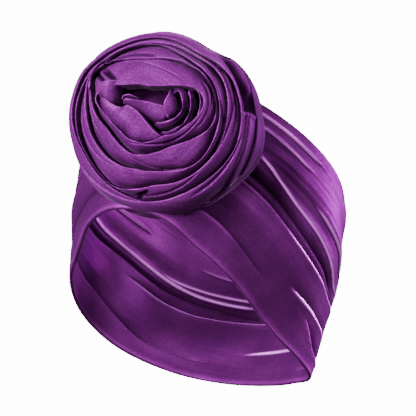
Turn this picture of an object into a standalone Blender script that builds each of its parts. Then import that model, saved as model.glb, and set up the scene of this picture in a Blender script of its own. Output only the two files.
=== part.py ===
"""Flower headband: a wide pleated cloth band worn round the head, with a rolled rosette at the front.

Metres, +Z up. The wearer faces -Y and the wearer's left is +X. The origin is the middle of the hollow
for the head, on the axis of the band's loop.
"""
from collections import namedtuple

import bmesh
import bpy
import numpy as np

MM = 0.001

# The loop's axis points to the crown, up and back. Its hem faces the face, its other edge the crown.
LOOP_TILT = 45.0
HEM_TO_MIDDLE = 52 * MM
WALL = 3.0 * MM
PLEAT_DEPTH = 2.6 * MM
BAND_COLUMNS = 66
HEM_STEPS = 3

# The band's sections, one each way round the axis, from the wearer's left (0) over the nape (90).
# Angles in degrees, the others in mm: radius of the hem, halfway up and at the crown, and the width.
Section = namedtuple("Section", "angle hem waist crown width")
SECTIONS = [
    Section(-167, 72, 86, 86, 104),
    Section(-145, 67, 87, 88, 104),
    Section(-126, 71, 90, 91, 104),
    Section(-110, 80, 95, 92, 104),
    Section(-90, 91, 99, 90, 106),
    Section(-71, 89, 97, 88, 108),
    Section(-57, 74, 92, 87, 107),
    Section(-42, 66, 88, 85, 106),
    Section(-23, 61, 84, 83, 106),
    Section(-1, 60, 86, 81, 108),
    Section(18, 66, 91, 80, 110),
    Section(31, 79, 94, 80, 110),
    Section(39, 94, 98, 82, 110),
    Section(46, 106, 98, 83, 110),
    Section(56, 103, 97, 83, 108),
    Section(72, 97, 96, 84, 106),
    Section(90, 94, 95, 85, 105),
    Section(115, 94, 94, 85, 104),
    Section(140, 93, 93, 85, 104),
    Section(160, 86, 90, 85, 104),
    Section(177, 78, 88, 85, 104),
]

# The grooves between the pleats, from the hem up: how far up the band each lies, as a share of its
# width, at eight angles round the loop.
GROOVE_ANGLES = (-120, -50, -20, 10, 35, 90, 135, 180)
Groove = namedtuple("Groove", "front_right front_left left left_back corner nape right_back right")
GROOVES = [
    Groove(0.15, 0.15, 0.15, 0.16, 0.22, 0.14, 0.15, 0.17),
    Groove(0.40, 0.43, 0.43, 0.37, 0.34, 0.45, 0.44, 0.40),
    Groove(0.50, 0.52, 0.49, 0.44, 0.41, 0.53, 0.52, 0.50),
    Groove(0.62, 0.64, 0.57, 0.53, 0.50, 0.63, 0.62, 0.61),
    Groove(0.73, 0.75, 0.68, 0.63, 0.62, 0.73, 0.73, 0.72),
    Groove(0.83, 0.84, 0.80, 0.77, 0.77, 0.82, 0.83, 0.82),
    Groove(0.91, 0.92, 0.90, 0.88, 0.88, 0.91, 0.91, 0.91),
]
# Where each pleat is sampled between its two grooves, as a share of the way.
PLEAT_SAMPLES = (0.0, 0.25, 0.65)
# The band lies flat under the rosette: pleats die out between these angles.
FLAT_FROM, FLAT_TO, FLAT_EASE = -108.0, -52.0, 14.0

# The rosette faces forward, a little to the wearer's left and up.
ROSE_AZIMUTH = 15.0
ROSE_ELEVATION = 14.0
ROSE_FOOT_ANGLE = -80.4
ROSE_FOOT_SHARE = 0.573
ROSE_COLUMNS = 48
ROSE_GAP = 0.5 * MM
ROSE_BACK = -18 * MM
# The search for the rosette's seat on the band ends at this height, after so many halvings.
SEAT_CEILING = 60 * MM
SEAT_HALVINGS = 18

# Radii in mm of the creases between the windings and of the outline, anticlockwise from the right.
Crease = namedtuple("Crease", "angle heart inner third second outline")
CREASES = [
    Crease(-150, 27, 40, 45, 57, 62),
    Crease(-120, 26, 36, 45, 54, 61),
    Crease(-90, 22, 33, 42, 50, 59),
    Crease(-60, 24, 34, 42, 48, 59),
    Crease(-30, 25, 37, 43, 49, 60),
    Crease(0, 29, 39, 45, 50, 59),
    Crease(30, 29, 39, 45, 50, 59),
    Crease(60, 25, 35, 40, 45, 53),
    Crease(90, 22, 36, 42, 48, 57),
    Crease(120, 27, 40, 46, 53, 59),
    Crease(150, 29, 42, 49, 56, 62),
    Crease(180, 28, 41, 46, 56, 62),
]

# The windings, from the outside in: between which creases, the height of the roll's crest in mm, how
# far its outer shoulder drops, and how far out its back edge lies, as a share of the way across.
Winding = namedtuple("Winding", "name inner outer crest drop tuck colour")
WINDINGS = [
    Winding("rose_outer_wrap", "second", "outline", 32, 11, 0.35, (0.105, 0.022, 0.135)),
    Winding("rose_second_wrap", "third", "second", 38, 7, 1.0, (0.120, 0.026, 0.150)),
    Winding("rose_third_wrap", "inner", "third", 43, 6, 1.0, (0.125, 0.028, 0.158)),
    Winding("rose_inner_wrap", "heart", "inner", 46, 6, 1.0, (0.130, 0.030, 0.165)),
    Winding("rose_heart", None, "heart", 42, 5, 1.0, (0.100, 0.022, 0.130)),
]
# A roll's front, from its inner side over the crest to its outer side: share across, share of the drop.
ROLL_SHAPE = ((0.0, 1.0), (0.04, 0.45), (0.20, 0.10), (0.42, 0.0), (0.66, 0.25), (0.86, 0.70), (1.0, 1.6))
ROLL_LEAST = 1.2 * MM

# Points nearer than this are one point of the mesh.
WELD_DISTANCE = 0.02 * MM

BAND_COLOUR = (0.085, 0.020, 0.110)
CLOTH_ROUGHNESS = 0.55


def axes_of_loop():
    """Unit vectors: to the wearer's left, to the nape, and along the loop's axis to the crown."""
    tilt = np.radians(LOOP_TILT)
    left = np.array([1.0, 0.0, 0.0])
    nape = np.array([0.0, np.cos(tilt), -np.sin(tilt)])
    crown = np.array([0.0, np.sin(tilt), np.cos(tilt)])
    return left, nape, crown


def axes_of_rose():
    """Unit vectors of the rosette: to its right as seen from the front, up its face, and out of it."""
    azimuth, elevation = np.radians(ROSE_AZIMUTH), np.radians(ROSE_ELEVATION)
    out = np.array([np.sin(azimuth) * np.cos(elevation), -np.cos(azimuth) * np.cos(elevation),
                    np.sin(elevation)])
    right = np.array([np.cos(azimuth), np.sin(azimuth), 0.0])
    return right, np.cross(out, right), out


def round_loop(angles, knots, values):
    """Smooth closed curve through values at knots (degrees): cubic pieces with mean slopes."""
    knots = np.asarray(knots, float)
    knots = np.concatenate([knots - 360, knots, knots + 360])
    values = np.tile(np.asarray(values, float), 3)
    slopes = np.gradient(values, knots)
    angles = (np.asarray(angles, float) + 180) % 360 - 180
    low = np.searchsorted(knots, angles, side="right") - 1
    step = knots[low + 1] - knots[low]
    t = (angles - knots[low]) / step
    start = values[low] * (1 + 2 * t) * (1 - t) ** 2 + slopes[low] * step * t * (1 - t) ** 2
    end = values[low + 1] * t * t * (3 - 2 * t) - slopes[low + 1] * step * t * t * (1 - t)
    return start + end


def column(rows, name):
    return [getattr(row, name) for row in rows]


def band_radius(angle, share):
    """Distance from the axis of the band's smooth middle face: a parabola through three radii."""
    knots = column(SECTIONS, "angle")
    hem, waist, crown = (round_loop(angle, knots, column(SECTIONS, name)) * MM
                         for name in ("hem", "waist", "crown"))
    return hem * (1 - share) * (1 - 2 * share) + waist * 4 * share * (1 - share) \
        + crown * share * (2 * share - 1)


def band_width(angle):
    return round_loop(angle, column(SECTIONS, "angle"), column(SECTIONS, "width")) * MM


def pleat_strength(angle):
    """1 where the pleats are full, easing to 0 where the rosette covers the band."""
    into = np.clip((angle - FLAT_FROM + FLAT_EASE) / FLAT_EASE, 0, 1)
    out = np.clip((angle - FLAT_TO) / FLAT_EASE, 0, 1)
    ease = np.minimum(into, 1 - out)
    return 1 - ease * ease * (3 - 2 * ease)


def loop_points(angle, share, offset):
    """Points at an angle round the loop, a share of the way up, moved outward by an offset."""
    left, nape, crown = axes_of_loop()
    turn = np.radians(angle)
    radius = band_radius(angle, share) + offset
    height = band_width(angle) * share - HEM_TO_MIDDLE
    return (radius[..., None] * (np.cos(turn)[..., None] * left + np.sin(turn)[..., None] * nape)
            + height[..., None] * crown)


def closed_grid(name, points, colour):
    """Object from a grid of points that closes both ways, shaded smooth."""
    rows, columns = points.shape[:2]
    index = np.arange(rows * columns).reshape(rows, columns)
    right = np.roll(index, -1, axis=1)
    up = np.roll(index, -1, axis=0)
    corner = np.roll(right, -1, axis=0)
    quads = np.stack([index, right, corner, up], -1).reshape(-1, 4)
    mesh = bpy.data.meshes.new(name)
    mesh.from_pydata(points.reshape(-1, 3).tolist(), [], quads.tolist())
    body = bmesh.new()
    body.from_mesh(mesh)
    bmesh.ops.remove_doubles(body, verts=body.verts, dist=WELD_DISTANCE)
    bmesh.ops.dissolve_degenerate(body, edges=body.edges, dist=WELD_DISTANCE)
    bmesh.ops.triangulate(body, faces=body.faces)
    bmesh.ops.recalc_face_normals(body, faces=body.faces)
    body.to_mesh(mesh)
    body.free()
    mesh.shade_smooth()
    made = bpy.data.objects.new(name, mesh)
    bpy.context.scene.collection.objects.link(made)
    mesh.materials.append(cloth(name, colour))
    return made


def cloth(name, colour):
    material = bpy.data.materials.new(name)
    material.use_nodes = True
    shader = material.node_tree.nodes["Principled BSDF"]
    shader.inputs["Base Color"].default_value = (*colour, 1)
    shader.inputs["Roughness"].default_value = CLOTH_ROUGHNESS
    shader.inputs["Metallic"].default_value = 0.0
    return material


def make_band():
    """Pleated loop: a wall of two faces with folded hems, grooved between its pleats."""
    angles = np.linspace(-180, 180, BAND_COLUMNS, endpoint=False)
    edges = [np.zeros_like(angles)]
    edges += [round_loop(angles, GROOVE_ANGLES, list(groove)) for groove in GROOVES]
    edges += [np.ones_like(angles)]
    strength = pleat_strength(angles)
    shares, sinks = [], []
    for low, high in zip(edges[:-1], edges[1:]):
        for sample in PLEAT_SAMPLES:
            shares.append(low + (high - low) * sample)
            sinks.append(PLEAT_DEPTH * strength * (1 - 4 * sample * (1 - sample)))
    shares.append(edges[-1])
    sinks.append(sinks[0])
    sinks[0] = sinks[-1] = 0 * strength
    shares, sinks = np.array(shares), np.array(sinks)
    outer = loop_points(np.broadcast_to(angles, shares.shape), shares, WALL / 2 - sinks)
    inner = loop_points(np.broadcast_to(angles, shares.shape), shares, -WALL / 2 - sinks)

    crown_axis = axes_of_loop()[2]
    fold = np.pi * (np.arange(1, HEM_STEPS + 1) / (HEM_STEPS + 1))

    def folded_edge(start, end, way):
        """Half round from one face to the other, bulging the way given along the axis."""
        middle, reach = (start + end) / 2, (start - end) / 2
        return np.array([middle + reach * np.cos(f) + way * crown_axis * np.sin(f) * WALL / 2
                         for f in fold])

    top = folded_edge(outer[-1], inner[-1], 1)
    bottom = folded_edge(inner[0], outer[0], -1)
    return closed_grid("band", np.concatenate([outer, top, inner[::-1], bottom]), BAND_COLOUR)


def rose_foot():
    """Point on the band's outer face that the rosette's axis starts from."""
    return loop_points(np.array(ROSE_FOOT_ANGLE), np.array(ROSE_FOOT_SHARE), np.array(WALL / 2))


def rose_points(across, up, height):
    right, rise, out = axes_of_rose()
    return rose_foot() + across[..., None] * right + up[..., None] * rise + height[..., None] * out


def seat_height(across, up):
    """Height above each place on the rosette's plane where it clears the band, found by halving."""
    left, nape, crown = axes_of_loop()
    low = np.full(across.shape, ROSE_BACK)
    high = np.full(across.shape, SEAT_CEILING)
    for _ in range(SEAT_HALVINGS):
        middle = (low + high) / 2
        place = rose_points(across, up, middle)
        along = place @ crown
        angle = np.degrees(np.arctan2(place @ nape, place @ left))
        share = np.clip((along + HEM_TO_MIDDLE) / band_width(angle), 0, 1)
        clear = np.hypot(place @ left, place @ nape) > band_radius(angle, share) + WALL / 2 + ROSE_GAP
        high = np.where(clear, middle, high)
        low = np.where(clear, low, middle)
    return high


def make_winding(winding):
    """Ring of wound cloth between two creases: upright sides, a rounded crest, its back on the band."""
    turn = np.linspace(-180, 180, ROSE_COLUMNS, endpoint=False)
    around = np.radians(turn)

    def crease(name):
        return round_loop(turn, column(CREASES, "angle"), column(CREASES, name)) * MM

    outer = crease(winding.outer) - ROSE_GAP / 2
    inner = crease(winding.inner) + ROSE_GAP / 2 if winding.inner else np.zeros_like(turn)
    radii, heights = [], []
    for across, fall in ROLL_SHAPE:
        radius = inner + (outer - inner) * across
        seat = seat_height(radius * np.cos(around), radius * np.sin(around))
        radii.append(radius)
        heights.append(np.maximum((winding.crest - winding.drop * fall) * MM, seat + ROLL_LEAST))
    for across in (winding.tuck, winding.tuck / 2, 0.0):
        radius = inner + (outer - inner) * across
        radii.append(radius)
        heights.append(seat_height(radius * np.cos(around), radius * np.sin(around)))
    radii, heights = np.array(radii), np.array(heights)
    points = rose_points(radii * np.cos(around), radii * np.sin(around), heights)
    return closed_grid(winding.name, points, winding.colour)


def clear_scene():
    for old in list(bpy.data.objects):
        bpy.data.objects.remove(old, do_unlink=True)


clear_scene()
make_band()
for winding in WINDINGS:
    make_winding(winding)
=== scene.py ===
"""Flower headband in worn form: a pleated band of purple jersey with a rolled rosette at the front."""
from collections import namedtuple

import bpy
import numpy as np
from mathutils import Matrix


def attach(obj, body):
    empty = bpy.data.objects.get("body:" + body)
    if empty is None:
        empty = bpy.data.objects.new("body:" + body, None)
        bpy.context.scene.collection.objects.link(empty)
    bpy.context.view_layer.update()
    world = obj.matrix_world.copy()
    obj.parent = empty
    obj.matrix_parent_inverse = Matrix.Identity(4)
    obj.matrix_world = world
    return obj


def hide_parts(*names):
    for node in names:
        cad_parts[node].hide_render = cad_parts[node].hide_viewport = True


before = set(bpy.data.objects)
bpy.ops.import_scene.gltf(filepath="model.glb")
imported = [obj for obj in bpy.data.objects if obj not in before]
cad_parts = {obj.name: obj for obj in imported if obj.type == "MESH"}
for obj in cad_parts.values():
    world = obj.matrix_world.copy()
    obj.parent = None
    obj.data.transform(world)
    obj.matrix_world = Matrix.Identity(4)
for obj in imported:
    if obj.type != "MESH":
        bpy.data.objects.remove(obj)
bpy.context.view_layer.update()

MM = 0.001


# The band: a wide tube of jersey, doubled, with its two long edges folded in, gathered into lengthwise
# pleats by hand and closed into a loop. It leans back from the forehead to the nape, where it is
# pressed into a sharp fold on the wearer's left.
LOOP_TILT = 45.0
HEM_TO_MIDDLE = 52 * MM
BAND_WALL = 2.6 * MM
BAND_COLUMNS = 330
EDGE_ROWS = 8
FOLD_ANGLE = 45.0

# Angle round the axis in degrees, 0 at the wearer's left and 90 at the nape. The others are in mm: the
# radius at the hem, halfway up and at the crown edge, and the width.
Section = namedtuple("Section", "angle hem waist crown width")
SECTIONS = [
    Section(-167, 72, 86, 86, 104),
    Section(-145, 67, 87, 88, 104),
    Section(-126, 71, 90, 91, 104),
    Section(-110, 80, 95, 92, 104),
    Section(-90, 91, 99, 90, 106),
    Section(-71, 89, 97, 88, 108),
    Section(-57, 74, 92, 87, 107),
    Section(-42, 66, 88, 85, 106),
    Section(-23, 61, 84, 83, 106),
    Section(-1, 60, 86, 81, 108),
    Section(18, 66, 91, 80, 110),
    Section(31, 79, 94, 80, 110),
    Section(39, 94, 98, 82, 110),
    Section(46, 106, 98, 83, 110),
    Section(56, 103, 97, 83, 108),
    Section(72, 97, 96, 84, 106),
    Section(90, 94, 95, 85, 105),
    Section(115, 94, 94, 85, 104),
    Section(140, 93, 93, 85, 104),
    Section(160, 86, 90, 85, 104),
    Section(177, 78, 88, 85, 104),
]

# The lines that the pleats follow, as shares of the band's width from hem to crown edge, by angle.
Lines = namedtuple("Lines", "angle low corner panel groove main second upper top")
LINES = [
    Lines(-165, 0.180, 0.300, 0.440, 0.500, 0.600, 0.660, 0.790, 0.910),
    Lines(-140, 0.180, 0.300, 0.440, 0.505, 0.620, 0.680, 0.800, 0.920),
    Lines(-112, 0.170, 0.290, 0.440, 0.515, 0.650, 0.720, 0.830, 0.930),
    Lines(-70, 0.150, 0.270, 0.450, 0.525, 0.680, 0.760, 0.850, 0.935),
    Lines(-50, 0.172, 0.270, 0.448, 0.520, 0.664, 0.750, 0.840, 0.930),
    Lines(-40, 0.156, 0.270, 0.440, 0.510, 0.627, 0.735, 0.825, 0.925),
    Lines(-30, 0.141, 0.265, 0.428, 0.500, 0.588, 0.700, 0.810, 0.920),
    Lines(-20, 0.128, 0.245, 0.410, 0.480, 0.559, 0.660, 0.800, 0.915),
    Lines(-10, 0.118, 0.220, 0.392, 0.460, 0.543, 0.640, 0.790, 0.910),
    Lines(0, 0.104, 0.204, 0.382, 0.445, 0.530, 0.628, 0.780, 0.905),
    Lines(10, 0.110, 0.206, 0.378, 0.438, 0.511, 0.615, 0.770, 0.900),
    Lines(20, 0.148, 0.222, 0.382, 0.435, 0.490, 0.600, 0.760, 0.890),
    Lines(30, 0.180, 0.242, 0.392, 0.438, 0.482, 0.590, 0.750, 0.880),
    Lines(40, 0.105, 0.238, 0.395, 0.440, 0.490, 0.585, 0.750, 0.880),
    Lines(52, 0.080, 0.238, 0.412, 0.460, 0.520, 0.600, 0.760, 0.880),
    Lines(64, 0.092, 0.248, 0.442, 0.490, 0.556, 0.618, 0.770, 0.880),
    Lines(78, 0.108, 0.238, 0.468, 0.508, 0.580, 0.630, 0.772, 0.880),
    Lines(90, 0.120, 0.218, 0.470, 0.516, 0.590, 0.637, 0.768, 0.880),
    Lines(102, 0.115, 0.215, 0.460, 0.525, 0.592, 0.640, 0.765, 0.882),
    Lines(116, 0.115, 0.220, 0.442, 0.525, 0.592, 0.633, 0.770, 0.890),
    Lines(130, 0.125, 0.232, 0.450, 0.532, 0.606, 0.628, 0.780, 0.900),
    Lines(140, 0.160, 0.260, 0.470, 0.550, 0.623, 0.648, 0.800, 0.912),
    Lines(150, 0.190, 0.285, 0.476, 0.560, 0.630, 0.660, 0.828, 0.920),
    Lines(160, 0.200, 0.300, 0.470, 0.545, 0.622, 0.662, 0.815, 0.920),
    Lines(172, 0.190, 0.300, 0.455, 0.515, 0.600, 0.658, 0.793, 0.912),
]
# Rows of mesh between one line and the next, from the hem up; they lie closer together at the lines.
LINE_ROWS = (16, 14, 24, 12, 16, 14, 16, 14, 13)

# Steps of the cloth along a line between two angles: how far it stands outward just on the hem side and
# just on the crown side of it, or inward where negative, and over what length it falls off, all in mm.
# The last value is the strength of the painted highlight on the step's lip, from 0 to 1.
Pleat = namedtuple("Pleat", "line start end hem_rise hem_fall crown_rise crown_fall shine")
PLEATS = [
    Pleat("low", -84, -8, -1.3, 1.2, -2.0, 1.3, 0.0), Pleat("corner", 4, 48, 1.0, 3.0, -1.4, 3.0, 1.0),
    Pleat("panel", -84, 46, 0.8, 3.0, -1.9, 4.0, 0.0), Pleat("main", -84, 42, -1.3, 2.6, 1.0, 1.6, 1.0),
    Pleat("panel", -22, 46, 0.1, 1.0, -0.1, 1.0, 0.8), Pleat("second", -14, 38, -1.6, 2.4, 1.2, 4.0, 0.9),
    Pleat("upper", -84, -16, -1.8, 2.6, 1.0, 2.4, 0.6), Pleat("top", -84, -12, -1.8, 2.6, 1.0, 2.4, 0.7),
    Pleat("panel", 66, 150, -1.0, 1.8, 2.2, 3.0, 0.8), Pleat("groove", 72, 192, 0.2, 2.0, 3.4, 3.4, 0.0),
    Pleat("main", 84, 192, 0.8, 2.6, -1.5, 2.2, 1.0), Pleat("second", 80, 138, 0.9, 1.6, -1.3, 2.2, 0.9),
    Pleat("low", 98, 194, -0.7, 3.5, 2.8, 2.0, 0.0), Pleat("corner", 50, 87, 0.8, 2.4, -1.5, 1.8, 0.9),
    Pleat("upper", 94, 124, 1.0, 3.0, -1.2, 3.0, 0.3), Pleat("upper", 144, 186, 1.6, 3.0, -1.2, 2.6, 0.7),
    Pleat("low", 186, 262, -2.0, 3.0, -1.0, 4.0, 0.0), Pleat("panel", 186, 262, -2.0, 3.0, 0.8, 4.0, 0.0),
    Pleat("main", 200, 262, -1.6, 2.6, 0.8, 3.0, 0.3), Pleat("upper", 190, 262, 0.8, 3.0, -1.4, 2.6, 0.3),
    Pleat("top", 186, 262, -1.2, 2.0, 0.6, 2.0, 0.3), Pleat("groove", -84, 34, -2.8, 1.6, -2.8, 1.9, 0.0),
    Pleat("low", 26, 58, 0.9, 3.0, -2.6, 2.4, 0.0),
]
# A pleat comes in and goes out over so many degrees, and steps over a length in mm. It dies out towards
# both long edges, over the width divided by the calm.
PLEAT_FADE, STEP_LENGTH, EDGE_CALM = 12.0, 0.45, 18

# Where the cloth is slack between two lines it bulges outward, or inward where negative, by so many mm.
Puff = namedtuple("Puff", "lower higher start end rise")
PUFFS = [
    Puff("low", "panel", -70, 40, 1.0), Puff("main", "top", -60, 26, 2.4),
    Puff("second", "top", -2, 62, -3.2), Puff("groove", "main", 80, 190, -0.8),
    Puff("low", "panel", 70, 184, -1.4), Puff("main", "top", 92, 186, -2.2),
    Puff("low", "panel", 190, 256, 1.6), Puff("panel", "upper", 190, 256, 2.0),
]
PUFF_FADE = 30

# Fine gathers run along the cloth as waves. The pitch is the way across in mm over which a wave turns by
# a radian. The heights are in mm: everywhere, and added where the gathers fan out from the rosette over
# the upper part. The sway along the cloth and the drift across it keep the waves from lying in line.
Gather = namedtuple("Gather", "pitch height fanned sway sway_turns sway_start drift drift_pitch")
GATHERS = [Gather(0.8, 0.03, 0.13, 2, 2.0, 0, 4, 15), Gather(1.9, 0.06, 0.16, 3, 1.5, 1, 3, 21)]
FAN_FROM, FAN_TO, FAN_FADE, FAN_LOW, FAN_RATE = -62, 30, 40, 0.5, 6

# The rosette covers the band from here to here, and the cloth under it lies flat.
COVERED_FROM, COVERED_TO, COVERED_EASE = -112.0, -62.0, 12.0

# Painted light and shade, which the cloth's dye is multiplied by. As painted shade it falls by the
# exponential of the depth, and as painted light it rises where the cloth stands out, for a rise between
# two values in mm on each face. A lip carries a painted highlight, a bell of half width in mm about a
# place beside its line, duller outside past the nape fold. The folded hem carries a painted highlight.
PAINTED_RELIEF_SHADING, OUTER_DEPTHS, INNER_DEPTHS = 0.42, (-2.7, 2), (-2, 3.4)
LIP_OFFSET, LIP_HALF_WIDTH, PAINTED_LIP_HIGHLIGHT = 0.4, 0.28, 8.0
BACK_DULLED, BACK_FROM, BACK_TO, BACK_FADE = 0.8, 66, 262, 20
PAINTED_HEM_HIGHLIGHT, HEM_LIT = 1.1, 1.8 * MM

# The rosette's painted shadow on the band, which ends at an angle and is deepest above the front panel,
# between two shares of the width. Each share comes with a rate: the painted shadow comes in over the
# width divided by it.
ROSE_SHADE, ROSE_SHADE_END, ROSE_SHADE_FADE, ROSE_SHADE_LEAST = 0.8, -8.0, 28, 0.3
ROSE_SHADE_DEEPEST = (0.38, 8, 0.98, 2.6)
ROSE_SHADE_HEM_RATE = 5

# Other painted light and shade on a face, paler, or darker where negative, between two angles in degrees
# and two shares of the width: painted shade close by the rosette, painted light on the front panel before
# the nape fold, inside at the nape and inside low down, and painted shade inside at the wearer's right,
# which lies in the loop's own shade. A low share of -1 or a high one of 2 leaves that side open.
Tint = namedtuple("Tint", "face start end fade low low_rate high high_rate change")
PAINTED_LIGHTS = [
    Tint("outer", COVERED_FROM, -34, 16, 0.12, 8, 0.50, 12, -0.42),
    Tint("outer", 0, 62, 26, -1, 1, 0.42, 6, 0.35),
    Tint("inner", 88, 142, 22, 0.62, 7, 2, 1, 0.50), Tint("inner", 108, 172, 26, -1, 1, 0.36, 8, 0.45),
    Tint("inner", 150, 214, 26, 0.15, 7, 0.62 + 1 / 7, 7, -0.70),
]


def loop_axes():
    """Unit vectors: to the wearer's left, to the nape, and along the loop's axis to the crown."""
    tilt = np.radians(LOOP_TILT)
    return (np.array([1.0, 0.0, 0.0]), np.array([0.0, np.cos(tilt), -np.sin(tilt)]),
            np.array([0.0, np.sin(tilt), np.cos(tilt)]))


def column(rows, name):
    """One named column of a table, as an array."""
    return np.array([getattr(row, name) for row in rows], float)


def cubic(start, end, start_slope, end_slope, t):
    """The cubic from start to end, as t goes from 0 to 1, that has the given slopes at both."""
    leaving = start * (1 + 2 * t) * (1 - t) ** 2 + start_slope * t * (1 - t) ** 2
    arriving = end * t * t * (3 - 2 * t) - end_slope * t * t * (1 - t)
    return leaving + arriving


def round_curve(angles, knots, values):
    """Closed smooth curve of angle in degrees: cubic pieces through the knots, with mean slopes."""
    knots = np.concatenate([knots - 360, knots, knots + 360])
    values = np.tile(values, 3)
    slopes = np.gradient(values, knots)
    angles = (np.asarray(angles, float) + 180) % 360 - 180
    low = np.searchsorted(knots, angles, side="right") - 1
    step = knots[low + 1] - knots[low]
    t = (angles - knots[low]) / step
    return cubic(values[low], values[low + 1], slopes[low] * step, slopes[low + 1] * step, t)


def eased(t):
    """0 to 1 with level ends: t * t * (3 - 2 t), for t held between 0 and 1."""
    t = np.clip(t, 0, 1)
    return t * t * (3 - 2 * t)


def line_shares(angle, name):
    """A pleat line's share of the band's width at each angle, on the closed curve through its row."""
    return round_curve(angle, column(LINES, "angle"), column(LINES, name))


def between(angle, start, end, fade):
    """1 from start to end in degrees, eased to 0 at both over the fade."""
    # Counted from 60 degrees before the start.
    turn = (angle - start + 60) % 360 - 60
    return eased(turn / fade) * eased((end - start - turn) / fade)


def in_width(share, low, low_rate, high, high_rate):
    """1 between two shares of the width, eased to 0 below the low one and above the high one."""
    return eased((share - low) * low_rate) * eased((high - share) * high_rate)


def pleat_rise(angle, share, width):
    """Outward shift of the cloth in metres, and the painted light and shade of its outer and inner face.

    At each line it steps from one falling exponential to another by a hyperbolic tangent, and it bulges
    by squared half waves between the lines. The painted light and shade follow the tables above.
    """
    rise, outer_shine, inner_shine = np.zeros_like(share), np.zeros_like(share), np.zeros_like(share)
    for pleat in PLEATS:
        off = (share - line_shares(angle, pleat.line)) * width / MM
        hem_side = pleat.hem_rise * np.exp(-np.abs(off) / pleat.hem_fall)
        crown_side = pleat.crown_rise * np.exp(-np.abs(off) / pleat.crown_fall)
        crossed = 0.5 + 0.5 * np.tanh(off / STEP_LENGTH)
        step = hem_side * (1 - crossed) + crown_side * crossed
        shown = between(angle, pleat.start, pleat.end, PLEAT_FADE)
        rise += shown * step
        lip = LIP_OFFSET * np.sign(pleat.crown_rise - pleat.hem_rise)
        outer_shine += shown * pleat.shine * np.exp(-((off - lip) / LIP_HALF_WIDTH) ** 2)
        inner_shine += shown * pleat.shine * np.exp(-((off + lip) / LIP_HALF_WIDTH) ** 2)
    outer_painted_light = np.exp(PAINTED_RELIEF_SHADING * np.clip(rise, *OUTER_DEPTHS))
    inner_painted_light = np.exp(-PAINTED_RELIEF_SHADING * np.clip(rise, *INNER_DEPTHS))
    # Painted highlight along the hem, and the rosette's painted shadow on the outer face.
    hem = 1 + PAINTED_HEM_HIGHLIGHT * np.exp(-(share * width / HEM_LIT) ** 2)
    deeper = ROSE_SHADE_LEAST + (1 - ROSE_SHADE_LEAST) * in_width(share, *ROSE_SHADE_DEEPEST)
    beside_rose = between(angle, COVERED_FROM, ROSE_SHADE_END, ROSE_SHADE_FADE)
    outer_painted_light *= hem * (1 - ROSE_SHADE * beside_rose * deeper * eased(share * ROSE_SHADE_HEM_RATE))
    inner_painted_light *= hem
    for painted_patch in PAINTED_LIGHTS:
        place = in_width(share, painted_patch.low, painted_patch.low_rate, painted_patch.high, painted_patch.high_rate)
        change = 1 + painted_patch.change * between(angle, painted_patch.start, painted_patch.end, painted_patch.fade) * place
        if painted_patch.face == "outer":
            outer_painted_light *= change
        else:
            inner_painted_light *= change
    # The lips' painted highlights are added last, so that they stay pale in the painted shade.
    outer_painted_light += PAINTED_LIP_HIGHLIGHT * outer_shine * (1 - BACK_DULLED * between(angle, BACK_FROM, BACK_TO, BACK_FADE))
    inner_painted_light += PAINTED_LIP_HIGHLIGHT * inner_shine
    for puff in PUFFS:
        lower, higher = line_shares(angle, puff.lower), line_shares(angle, puff.higher)
        inside = np.clip((share - lower) / (higher - lower), 0, 1)
        rise += between(angle, puff.start, puff.end, PUFF_FADE) * puff.rise * np.sin(np.pi * inside) ** 2
    way, turn = share * width / MM, np.radians(angle)
    fan = between(angle, FAN_FROM, FAN_TO, FAN_FADE) * eased((share - FAN_LOW) * FAN_RATE)
    for gather in GATHERS:
        sway = gather.sway * np.sin(turn * gather.sway_turns + gather.sway_start)
        drift = gather.drift * np.sin(way / gather.drift_pitch)
        rise += (gather.height + gather.fanned * fan) * np.sin(way / gather.pitch + sway + drift)
    covered = eased((angle - COVERED_FROM) / COVERED_EASE + 1) \
        * eased((COVERED_TO - angle) / COVERED_EASE + 1)
    calm = eased(share * EDGE_CALM) * eased((1 - share) * EDGE_CALM)
    return rise * (1 - covered) * calm * MM, outer_painted_light, inner_painted_light


def loop_points(angle, share):
    """Middle face of the band's wall: a parabola of radius through three heights, round the axis."""
    left, nape, crown = loop_axes()
    knots = column(SECTIONS, "angle")
    hem, waist, top, width = (round_curve(angle, knots, column(SECTIONS, name)) * MM
                              for name in ("hem", "waist", "crown", "width"))
    radius = hem * (1 - share) * (1 - 2 * share) + waist * 4 * share * (1 - share) \
        + top * share * (2 * share - 1)
    turn = np.radians(angle)[..., None]
    height = width * share - HEM_TO_MIDDLE
    place = radius[..., None] * (np.cos(turn) * left + np.sin(turn) * nape) + height[..., None] * crown
    return place, radius, width


def grid_normals(points):
    """Unit normals of a grid whose columns close into a loop: along the columns cross up the rows."""
    along = np.roll(points, -1, 1) - np.roll(points, 1, 1)
    up = np.gradient(points, axis=0)
    normal = np.cross(along, up)
    return normal / np.maximum(np.linalg.norm(normal, axis=2, keepdims=True), 1e-12)


def measured(points):
    """Way in metres over a grid from its first row to each row, by the mean distance between rows."""
    step = np.linalg.norm(np.diff(points, axis=0, append=points[:1]), axis=2).mean(1)
    return (np.cumsum(step) - step)[:, None] * np.ones((1, points.shape[1]))


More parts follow.
